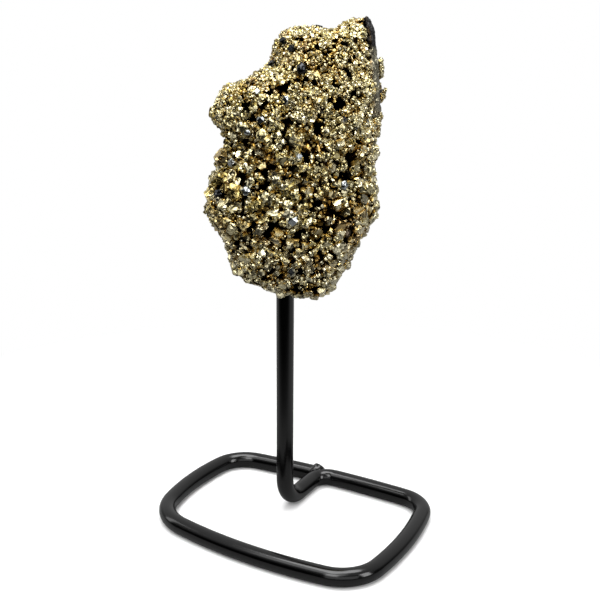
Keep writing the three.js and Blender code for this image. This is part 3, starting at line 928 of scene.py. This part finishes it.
def fine_crystals(random, room):
    """Small single crystals, which fill in between the knobs and cover the fine-grained parts,
    sunk like the knobs. Gives the parts for crystal_piece."""
    density = (1.3 - coarseness(lump_points)) * room
    places, normals, heights = scattered(random, density, FINE_CRYSTALS)
    radii = 0.42 + 0.6 * random.beta(1.3, 3, FINE_CRYSTALS)
    sunk = heights + 0.18 - 0.35 * radii + random.normal(0, 0.1, FINE_CRYSTALS)
    centres = places + normals * sunk[:, None]
    turns = random_turns(random, FINE_CRYSTALS)
    plain = random.uniform(0, PALEST_FINE, FINE_CRYSTALS)
    # the tones are paler towards the foot and the right side, and darker at the top and left: painted light
    # and shade
    tones = plain + painted_light_paleness(places) * (PALEST_FINE - plain)
    stains = stained_share(random, places, heights)
    return [centres, radii, turns, places, normals, tones, stains]


random = np.random.default_rng(CRYSTAL_SEED)
in_hollow = ramp_up(crust_hollow, 0.5, 1.0)
room = (1 - 0.98 * in_hollow) * (1 - 0.985 * crust_bare) * (1 - 0.99 * crust_band)
crystal_parts = [np.concatenate(both) for both in zip(knobs(random, room), fine_crystals(random, room))]

CUBE, CUBOCTAHEDRON = cut_cube(1.0), cut_cube(0.0)
HABITS, HABIT_SHARES = (cut_cube(0.66), CUBOCTAHEDRON, pyritohedron()), (0.4, 0.25, 0.35)
LARGEST_PIECE = 5000  # crystals
knob_pyrite = pyrite_material("knob_pyrite", (0.12, 0.36), KNOB_TONES, 1.1, (0.8, 1.15))
for number, begin in enumerate(range(0, len(crystal_parts[0]), LARGEST_PIECE)):
    part = [values[begin : begin + LARGEST_PIECE] for values in crystal_parts]
    crystals = crystal_piece(f"pyrite_crystals_{number + 1}", random, HABITS, HABIT_SHARES, part)
    crystals.data.materials.append(knob_pyrite)
    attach(crystals, "root")

# --- The flat crystals ----------------------------------------------------------------
# A few larger crystals lie with a flat face outward. Some are silvery, and some are charcoal
# where the brass skin never formed.
SILVER, CHARCOAL = 1.0, 0.995  # their tones in KNOB_TONES
FLAT_STAND = 0.25
FLAT_CRYSTALS = np.array([
    # across, up, radius, tone
    (0.3, 129.7, 1.5, SILVER),
    (-6.6, 124.3, 1.2, SILVER),
    (-9.9, 121.1, 1.3, SILVER),
    (3.3, 114.7, 1.3, SILVER),
    (16.1, 106.9, 1.5, SILVER),
    (-10.5, 105.0, 1.5, SILVER),
    (2.0, 97.4, 1.6, SILVER),
    (2.1, 82.4, 1.5, SILVER),
    (-7.2, 131.6, 1.2, SILVER),
    (-0.4, 144.5, 1.4, CHARCOAL),
    (1.8, 142.7, 1.2, CHARCOAL),
    (4.7, 137.6, 1.7, CHARCOAL),
    (9.1, 148.1, 1.1, CHARCOAL),
    (-3.4, 138.4, 1.2, CHARCOAL),
])


def flat_parts():
    """The flat crystals' parts for crystal_piece: each sits on the point of the lump's front
    that is nearest its place, with its own level side and its face along the lump's normal."""
    in_front = lump_points[..., 1] < 0
    points, normals = lump_points[in_front], lump_normals[in_front]
    across, up, radii, tones = FLAT_CRYSTALS.T
    nearest = np.hypot(points[:, None, 0] - across, points[:, None, 2] - up).argmin(0)
    places, normals = points[nearest], normals[nearest]
    side = np.cross((0, 0, 1.0), normals)
    side /= np.linalg.norm(side, axis=1)[:, None]
    turns = np.stack([side, np.cross(normals, side), normals], -1)
    return [places + FLAT_STAND * normals, radii, turns, places, normals, tones, 0 * tones]


flats = crystal_piece("flat_crystals", random, (CUBOCTAHEDRON,), (1.0,), flat_parts())
flats.data.materials.append(pyrite_material("flat_pyrite", (0.12, 0.3), KNOB_TONES, 1.1, (0.85, 0.0)))
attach(flats, "root")

# --- The pyrite dust ------------------------------------------------------------------
# Tiny bright crystals that grew last, as a dust on all the others. Most of it sits on their
# outer and upper sides.
DUST = 3500
DUST_SHARES = (0.6, 0.4)
DUST_TONES = [(0.0, (0.55, 0.49, 0.3)), (1.0, (0.78, 0.74, 0.6))]


def dust_parts(random):
    """The dust's parts for crystal_piece: each grain sits on a crystal picked at random, in a
    random way from its centre that leans outwards and upwards."""
    centres, radii, _, places, normals, _, stains = crystal_parts
    on = random.choice(len(centres), DUST)
    ways = 0.8 * normals[on] + random.normal(0, 0.6, (DUST, 3)) + (0, 0, 0.35)
    ways /= np.linalg.norm(ways, axis=1)[:, None]
    grains = centres[on] + ways * (0.8 * radii[on])[:, None]
    grain_radii = random.uniform(0.14, 0.34, DUST)
    turns = random_turns(random, DUST)
    tones = random.uniform(0, 1, DUST)
    return [grains, grain_radii, turns, places[on], normals[on], tones, 0.6 * stains[on]]


dust = crystal_piece("pyrite_dust", random, (CUBE, CUBOCTAHEDRON), DUST_SHARES, dust_parts(random))
dust.data.materials.append(pyrite_material("dust_pyrite", (0.05, 0.2), DUST_TONES, 2.5, (3.0, 0.4)))
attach(dust, "root")

# --- Table and light ------------------------------------------------------------------
# A plain white table top, a large soft light overhead, and smaller ones in front. The table
# looks white, but what it sends up into the polished faces is a mid grey, and darker from the
# front. Further out it glows by itself, so that it meets the white surround with no edge.
TABLE_REACH = 3.0
TABLE_WHITE, TABLE_REFLECTED = (0.9, 0.9, 0.9), (0.24, 0.24, 0.24)
FRONT_DARK = [(0.0, (0.5,) * 3), (0.25, (0.28,) * 3), (0.5, (0.12,) * 3), (1.0, (0.01,) * 3)]
FRONT_WAY, FRONT_FROM, FRONT_TO = (0.245, -0.969, 0), 0.02, 0.15
GLOW_SEEN_FROM, GLOW_SEEN_TO = 0.09, 0.2
GLOW_REFLECTED_FROM, GLOW_REFLECTED_TO = 0.045, 0.085


def table_material():
    """White where it is looked at, and grey to black where it is reflected: plain near the
    stand, and fading into its own glow further out."""
    material, tree, shader = new_material("white_table")
    shader.inputs["Roughness"].default_value = 0.8
    shader.inputs["Specular IOR Level"].default_value = 0.0
    looked_at = tree.nodes.new("ShaderNodeLightPath").outputs["Is Camera Ray"]
    near = blended(tree, looked_at, TABLE_REFLECTED, TABLE_WHITE)
    tree.links.new(near, shader.inputs["Base Color"])
    place = tree.nodes.new("ShaderNodeTexCoord").outputs["Object"]
    forward = vector_math(tree, "DOT_PRODUCT", place, FRONT_WAY).outputs["Value"]
    ahead = number_range(tree, forward, 0, 1, FRONT_FROM, FRONT_TO)
    reflected = colour_ramp(tree, ahead, FRONT_DARK)
    glow = tree.nodes.new("ShaderNodeEmission")
    tree.links.new(blended(tree, looked_at, reflected, (1.0, 1.0, 1.0)), glow.inputs["Color"])
    away = vector_math(tree, "LENGTH", place).outputs["Value"]
    seen = number_range(tree, away, 0, 1, GLOW_SEEN_FROM, GLOW_SEEN_TO)
    mirrored = number_range(tree, away, 0, 1, GLOW_REFLECTED_FROM, GLOW_REFLECTED_TO)
    fading = tree.nodes.new("ShaderNodeMixShader")
    tree.links.new(blended(tree, looked_at, mirrored, seen), fading.inputs["Fac"])
    tree.links.new(shader.outputs["BSDF"], fading.inputs[1])
    tree.links.new(glow.outputs["Emission"], fading.inputs[2])
    tree.links.new(fading.outputs["Shader"], tree.nodes["Material Output"].inputs["Surface"])
    return material


table_mesh = bpy.data.meshes.new("table_top")
table_corners = [(x * TABLE_REACH, y * TABLE_REACH, 0) for x, y in ((-1, -1), (1, -1), (1, 1), (-1, 1))]
table_mesh.from_pydata(table_corners, [], [(0, 1, 2, 3)])
table = bpy.data.objects.new("table_top", table_mesh)
bpy.context.collection.objects.link(table)
table.data.materials.append(table_material())


def soft_light(name, place, target, width, height, power):
    """A flat rectangular white light that faces a point."""
    lamp = bpy.data.lights.new(name, "AREA")
    lamp.shape = "RECTANGLE"
    lamp.size = width
    lamp.size_y = height
    lamp.energy = power
    light = bpy.data.objects.new(name, lamp)
    light.location = place
    light.rotation_euler = (Vector(target) - Vector(place)).to_track_quat("-Z", "Y").to_euler()
    bpy.context.collection.objects.link(light)


STONE_MIDDLE = (0, 0, 0.11)
soft_light("overhead", (-0.03, 0.02, 0.9), (0, 0, 0.05), 0.72, 0.58, 7.7)
soft_light("front_top", (-0.05, -0.53, 1.0), STONE_MIDDLE, 1.1, 0.46, 3.0)
soft_light("key", (0.1, -0.75, 0.75), STONE_MIDDLE, 0.4, 0.4, 2.5)
soft_light("fill", (0.7, -1.2, 0.55), STONE_MIDDLE, 1.9, 0.8, 5)
soft_light("left", (-0.7, -0.2, 0.35), STONE_MIDDLE, 0.2, 0.5, 0.6)
soft_light("right", (0.75, -0.1, 0.35), STONE_MIDDLE, 0.25, 0.5, 2.4)

# The surround is white where it is looked at. What the polished faces reflect of it is bright
# overhead and to the back, and fades to black towards the front.
SKY_WAY = (-0.206, 0.369, 0.906)
SKY = [(0.0, (0.0,) * 3), (0.2, (0.03,) * 3), (0.35, (0.27,) * 3), (0.5, (0.5,) * 3), (1.0, (0.7,) * 3)]
world = bpy.data.worlds.new("studio")
bpy.context.scene.world = world
world.use_nodes = True
sky_tree = world.node_tree
surround = sky_tree.nodes["Background"]
direction = sky_tree.nodes.new("ShaderNodeTexCoord").outputs["Generated"]
upward = vector_math(sky_tree, "DOT_PRODUCT", direction, SKY_WAY).outputs["Value"]
held = number_range(sky_tree, upward, 0, 1)
sky_tree.links.new(colour_ramp(sky_tree, held, SKY), surround.inputs["Color"])
seen = sky_tree.nodes.new("ShaderNodeBackground")
seen.inputs["Color"].default_value = (1, 1, 1, 1)
looked_at = sky_tree.nodes.new("ShaderNodeLightPath").outputs["Is Camera Ray"]
choose = sky_tree.nodes.new("ShaderNodeMixShader")
sky_tree.links.new(looked_at, choose.inputs["Fac"])
sky_tree.links.new(surround.outputs["Background"], choose.inputs[1])
sky_tree.links.new(seen.outputs["Background"], choose.inputs[2])
sky_tree.links.new(choose.outputs["Shader"], sky_tree.nodes["World Output"].inputs["Surface"])
bpy.context.scene.view_settings.view_transform = "Standard"
